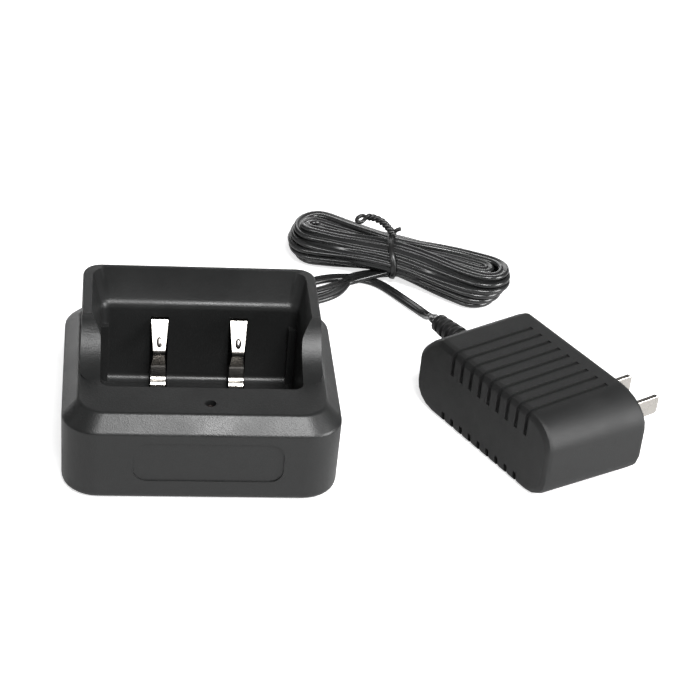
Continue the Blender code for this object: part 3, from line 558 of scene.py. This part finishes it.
def left_turn(loop, after):
    """Pairs round a loop's left end, from its far side to the near side of the loop after it."""
    _, along, across = bundle_axes()
    reach, reach_after = (loop.near_l + loop.far_l) / 2, (after.near_l + after.far_l) / 2
    pairs = []
    for step in range(1, TURN_STEPS):
        u = step / TURN_STEPS
        ease = u * u * (3 - 2 * u)
        a = math.pi * u
        edge = loop.left + (after.left - loop.left) * ease
        turn = reach + (reach_after - reach) * ease
        t = (loop.far_l - after.near_l) / 2 + (loop.far_l + after.near_l) / 2 * math.cos(a)
        point = bundle_point(edge + turn - turn * math.sin(a), t, loop.z_l + (after.z_l - loop.z_l) * ease)
        pairs.append((point, (across * math.cos(a) - along * math.sin(a)).normalized()))
    return pairs


def bundle_loops():
    """The line of the wound cord as (point, lay) pairs, where lay is the way from one core to the other. Each
    loop runs along the near side, round the right end, back along the far side and round the left end."""
    pairs = []
    for number, loop in enumerate(LOOPS):
        last = number + 1 == len(LOOPS)
        left_reach, right_reach = (loop.near_l + loop.far_l) / 2, (loop.near_r + loop.far_r) / 2
        turns_at = loop.left + left_reach, loop.right - right_reach
        s = turns_at[0] if number else WAIST_AT + WOUND_FROM
        while s < turns_at[1]:
            pairs.append(side_pair(number, s, -1))
            s += SIDE_STEP
        pairs += right_turn(loop)
        s, stop = turns_at[1], WAIST_AT + WOUND_TO if last else turns_at[0]
        while s > stop:
            pairs.append(side_pair(number, s, 1))
            s -= SIDE_STEP
        if not last:
            pairs += left_turn(loop, LOOPS[number + 1])
    return pairs


# The lead from the adapter runs by the bundle, out of sight behind the cradle and back under the bundle;
# the other end leaves the bundle underneath and goes behind the cradle to the round plug.
ADAPTER_LEAD = [(79.6, 45.9, 13.4), (79.0, 48.4, 13.0), (79.4, 53.5, 10.4), (80.2, 59.0, 6.8),
                (79.6, 65.0, 3.6), (77.0, 72.4, 2.0), (73.4, 78.6, 1.5), (69.6, 84.6, 1.3), (65.2, 90.0, 1.2),
                (60.0, 92.4, 1.2), (54.0, 92.7, 1.2), (48.0, 91.9, 1.2), (42.0, 89.2, 1.2), (35.0, 85.8, 1.2),
                (28.0, 83.2, 1.2), (22.6, 80.4, 1.2), (21.6, 77.0, 1.2), (25.0, 75.6, 1.2), (32.0, 77.4, 1.2),
                (39.0, 80.6, 1.2), (44.3, 83.2, 1.2), (49.6, 86.1, 1.2), (54.0, 89.6, 1.2), (60.0, 92.2, 1.4)]
PLUG_LEAD = [(58.5, 95.5, 1.6), (55.4, 91.6, 1.2), (53.6, 87.4, 1.2), (50.8, 82.6, 1.2), (47.0, 79.4, 1.2),
             (42.0, 76.8, 1.2), (34.0, 73.6, 1.2), (24.0, 71.6, 1.2), (14.0, 72.4, 1.8), (6.0, 73.4, 5.0),
             (1.4, 70.6, 9.8), (0.0, 66.0, 12.0), (0.0, 63.2, 12.0)]


def flat_lay(path):
    """The cores side by side on the table, for a lead."""
    out = []
    for head in tangents(path):
        flat = Vector((head.y, -head.x, 0.0))
        out.append(flat.normalized() if flat.length > 1e-4 else Vector((1, 0, 0)))
    return out


def resample_pairs(pairs, step):
    """Evens out the points and carries each one's lay with it."""
    points, lays = [p for p, _ in pairs], [v for _, v in pairs]
    places = even_places(points, step)
    return ([points[k].lerp(points[k + 1], u) for k, u in places],
            [lays[k].lerp(lays[k + 1], u) for k, u in places])


def same_hand(lays):
    """Turns each lay to the same hand as the one before it, so that the cord doesn't flip over."""
    out = [lays[0]]
    for v in lays[1:]:
        out.append(v if v.dot(out[-1]) >= 0 else -v)
    return out


def make_cord(mats, origin):
    lead_in = resample(catmull(ADAPTER_LEAD, 6), CORD_STEP)
    lead_out = resample(catmull(PLUG_LEAD, 6), CORD_STEP)
    wound, wound_lay = resample_pairs(bundle_loops(), CORD_STEP)
    path = lead_in + wound + lead_out
    lays = same_hand(flat_lay(lead_in) + wound_lay + flat_lay(lead_out))
    path = path[:FIXED_ENDS] + relax(path[FIXED_ENDS:-FIXED_ENDS], LINE_ROUNDS) + path[-FIXED_ENDS:]
    lays = relax(lays, LAY_ROUNDS)
    cord = sweep("twin_core_cord", path, lays, twin_profile(), mats["vinyl"], origin)
    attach(cord, "supply")
    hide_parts("power_cord")


# ---------------------------------------------------------------- twist tie

TAIL_LINE = [(71.4, 99.6, 15.3), (70.2, 99.0, 16.6), (68.6, 100.1, 18.0), (66.9, 102.4, 18.6),
             (64.5, 104.8, 18.6), (62.2, 106.2, 18.2)]
TAIL_EYE = [(60.6, 107.0, 18.2), (58.9, 106.4, 17.6), (58.6, 104.9, 17.0), (60.2, 104.3, 17.2)]
TAIL_STUB = [(71.4, 98.9, 16.9), (72.3, 98.6, 17.7), (73.2, 98.3, 18.2)]


def tie_band(mats, origin):
    """The ribbon round the bundle's waist."""
    path = []
    for k in range(TIE_POINTS + 1):
        a = 2 * math.pi * k / TIE_POINTS
        c, s = math.cos(a), math.sin(a)
        t = OVAL_MIDDLE[0] + (OVAL_HALF[0] + TIE_CLEAR[0]) * math.copysign(abs(c) ** TIE_SQUARE, c)
        z = OVAL_MIDDLE[1] + (OVAL_HALF[1] + TIE_CLEAR[1]) * math.copysign(abs(s) ** TIE_SQUARE, s)
        path.append(bundle_point(WAIST_AT + TIE_SHIFT - TIE_BOW * c - TIE_TOP_LEAN * max(0.0, s), t, z))
    _, along, _ = bundle_axes()
    profile = slab_profile(TIE_WIDTH, TIE_THICK)
    return sweep("tie_band", path, [along] * len(path), profile, mats["tie"], origin, closed=True)


def tie_tail(mats, origin):
    """The ribbon's two ends twisted together, arcing back over the bundle to an eye, with one short stub."""
    middle = catmull(TAIL_LINE, 10)
    strands = []
    for phase in (0.0, math.pi):
        strand = []
        for k, (p, head) in enumerate(zip(middle, tangents(middle))):
            side = head.cross(UP).normalized()
            up = side.cross(head)
            a = phase + 2 * math.pi * TAIL_TURNS * k / (len(middle) - 1)
            strand.append(p + (side * math.cos(a) + up * math.sin(a)) * TAIL_WIRE_R * TAIL_SPREAD)
        strands.append(strand)
    eye = catmull([strands[0][-1], *TAIL_EYE, strands[1][-1]], 6)
    stub = catmull([strands[0][0], *TAIL_STUB], 5)
    line = list(reversed(stub))[:-1] + strands[0] + eye[1:-1] + list(reversed(strands[1]))
    line = resample(line, TAIL_STEP)
    profile = ring_profile(TAIL_WIRE_R, TAIL_SIDES)
    return sweep("tie_tail", line, [TAIL_LEAN] * len(line), profile, mats["tie"], origin)


def make_tie(mats, origin):
    band, tail = tie_band(mats, origin), tie_tail(mats, origin)
    for piece in (band, tail):
        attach(piece, "supply")
    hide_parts("twist_tie")


# ---------------------------------------------------------------- contact studs

def make_stud(side, mats, origin):
    """The pressed dome on a contact's sloping face, just above its apex."""
    low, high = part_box(f"contact_spring_{side}")
    x = (low.x + high.x) / 2 / MM - origin.x / MM
    slope = Vector((0.0, STUD_SLOPE[0], STUD_SLOPE[1])).normalized()
    out = Vector((0.0, -slope.z, slope.y))
    centre = Vector((x, *STUD_AT)) + out * STUD_SINK
    verts, faces = [], []
    for r in range(STUD_ROWS + 1):
        a = math.pi / 2 * r / STUD_ROWS
        for k in range(STUD_SPOKES):
            b = 2 * math.pi * k / STUD_SPOKES
            flat = Vector((math.cos(b) * STUD_HALF[0], 0, 0)) + slope * math.sin(b) * STUD_HALF[1]
            verts.append(centre + flat * math.cos(a * STUD_CLOSE) + out * STUD_HALF[2] * math.sin(a))
    for r in range(STUD_ROWS):
        here, above = r * STUD_SPOKES, (r + 1) * STUD_SPOKES
        for k in range(STUD_SPOKES):
            after = (k + 1) % STUD_SPOKES
            faces.append((here + k, here + after, above + after, above + k))
    faces.append(tuple(STUD_ROWS * STUD_SPOKES + k for k in range(STUD_SPOKES)))
    faces.append(tuple(reversed(range(STUD_SPOKES))))
    stud = mesh_object(f"contact_stud_{side}", place(verts, origin), faces, mats["nickel"])
    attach(stud, f"contact_{side}")


# ---------------------------------------------------------------- stage

def make_stage(origin):
    """A pale floor that looks white to the camera and lights the object less than it looks."""
    mat, nodes, links, shader = new_material("pale_floor")
    shader.inputs["Base Color"].default_value = (*FLOOR_SEEN, 1.0)
    shader.inputs["Roughness"].default_value = 0.9
    shader.inputs["Specular IOR Level"].default_value = 0.0
    shader.inputs["Emission Color"].default_value = (1.0, 1.0, 1.0, 1.0)
    shader.inputs["Emission Strength"].default_value = FLOOR_GLOW
    dim = add(nodes, "ShaderNodeBsdfDiffuse")
    dim.inputs["Color"].default_value = (*FLOOR_FELT, 1.0)
    rays = add(nodes, "ShaderNodeLightPath")
    mix = add(nodes, "ShaderNodeMixShader")
    output = next(n for n in nodes if n.type == "OUTPUT_MATERIAL")
    links.new(rays.outputs["Is Camera Ray"], mix.inputs["Fac"])
    links.new(dim.outputs[0], mix.inputs[1])
    links.new(shader.outputs[0], mix.inputs[2])
    links.new(mix.outputs[0], output.inputs["Surface"])
    corners = [(FLOOR_HALF * x, FLOOR_HALF * y, 0) for x, y in ((-1, -1), (1, -1), (1, 1), (-1, 1))]
    floor = mesh_object("floor", place(corners, origin), [(0, 1, 2, 3)], mat, smooth=False)


# Soft boxes: the main one above the camera, a large one at the right, weak ones at the left and behind, a low
# pale card far behind, and three that are kept to the pieces whose names start as listed.
SoftBox = namedtuple("SoftBox", "name at aim width height power keeps_to", defaults=(None,))
CONTACT_PIECES = ("contact_spring", "contact_stud", "contact_lead")
CORD_PIECES = ("twin_core_cord", "tie_")
SOFT_BOXES = [
    SoftBox("key_soft", (170, -560, 800), (20, 0, 15), 440, 220, 10.0),
    SoftBox("front_soft", (90, -800, 620), (10, 5, 25), 420, 160, 1.5, CONTACT_PIECES),
    SoftBox("right_soft", (680, -260, 240), (20, 10, 10), 300, 360, 5.4),
    SoftBox("over_soft", (90, 740, 520), (74, 97, 8), 620, 420, 2.0, CORD_PIECES),
    SoftBox("side_soft", (-475, -510, 395), (74, 97, 8), 360, 180, 2.8, CORD_PIECES),
    SoftBox("back_soft", (60, 900, 600), (10, 0, 20), 520, 220, 0.4),
    SoftBox("left_soft", (-700, 60, 420), (0, 20, 20), 240, 500, 0.2),
    SoftBox("horizon_card", (0, 1500, 150), (30, 40, 20), 2600, 230, 8.5),
]


def make_light(box, origin):
    light = bpy.data.lights.new(box.name, "AREA")
    light.shape = "RECTANGLE"
    light.size, light.size_y = box.width * MM, box.height * MM
    light.energy = box.power
    holder = bpy.data.objects.new(box.name, light)
    bpy.context.scene.collection.objects.link(holder)
    holder.location = origin + Vector(box.at) * MM
    facing = (Vector(box.aim) - Vector(box.at)).normalized()
    holder.rotation_euler = facing.to_track_quat("-Z", "Y").to_euler()
    if box.keeps_to:
        lit = bpy.data.collections.new(f"{box.name}_on")
        for piece in bpy.data.objects:
            if piece.type == "MESH" and piece.name.startswith(box.keeps_to):
                lit.objects.link(piece)
        holder.light_linking.receiver_collection = lit


def make_world():
    """White where the camera sees it, dim where it lights the object."""
    world = bpy.data.worlds.new("studio")
    bpy.context.scene.world = world
    world.use_nodes = True
    nodes, links = world.node_tree.nodes, world.node_tree.links
    nodes.clear()
    rays, mix = nodes.new("ShaderNodeLightPath"), nodes.new("ShaderNodeMixShader")
    links.new(rays.outputs["Is Camera Ray"], mix.inputs["Fac"])
    for socket, strength in ((1, SKY_STRENGTH), (2, 1.0)):
        sky = nodes.new("ShaderNodeBackground")
        sky.inputs["Color"].default_value = (1.0, 1.0, 1.0, 1.0)
        sky.inputs["Strength"].default_value = strength
        links.new(sky.outputs["Background"], mix.inputs[socket])
    links.new(mix.outputs[0], nodes.new("ShaderNodeOutputWorld").inputs["Surface"])


def make_camera(origin):
    """A long lens, turned by yaw, then pitched down, then rolled."""
    yaw, pitch, roll = (math.radians(a) for a in (CAMERA_YAW, CAMERA_PITCH, CAMERA_ROLL))
    ahead = Vector((math.sin(yaw) * math.cos(pitch), math.cos(yaw) * math.cos(pitch), -math.sin(pitch)))
    level = Vector((math.cos(yaw), -math.sin(yaw), 0.0))
    up = level.cross(ahead)
    right = math.cos(roll) * level + math.sin(roll) * up
    top = -math.sin(roll) * level + math.cos(roll) * up
    turn = Matrix((right, top, -ahead)).transposed().to_4x4()
    turn.translation = origin + Vector(CAMERA_AT) * MM
    data = bpy.data.cameras.new("camera")
    data.lens = CAMERA_LENS
    data.clip_start = 0.01
    camera = bpy.data.objects.new("camera", data)
    bpy.context.scene.collection.objects.link(camera)
    camera.matrix_world = turn
    bpy.context.scene.camera = camera


def main():
    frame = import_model()
    origin = cradle_origin()
    mats = make_materials()
    dress_nodes(frame["nodes"], mats)
    make_cord(mats, origin)
    make_tie(mats, origin)
    for side in ("left", "right"):
        make_stud(side, mats, origin)
    make_stage(origin)
    for box in SOFT_BOXES:
        make_light(box, origin)
    make_world()
    make_camera(origin)
    bpy.context.scene.view_settings.view_transform = "Standard"


main()
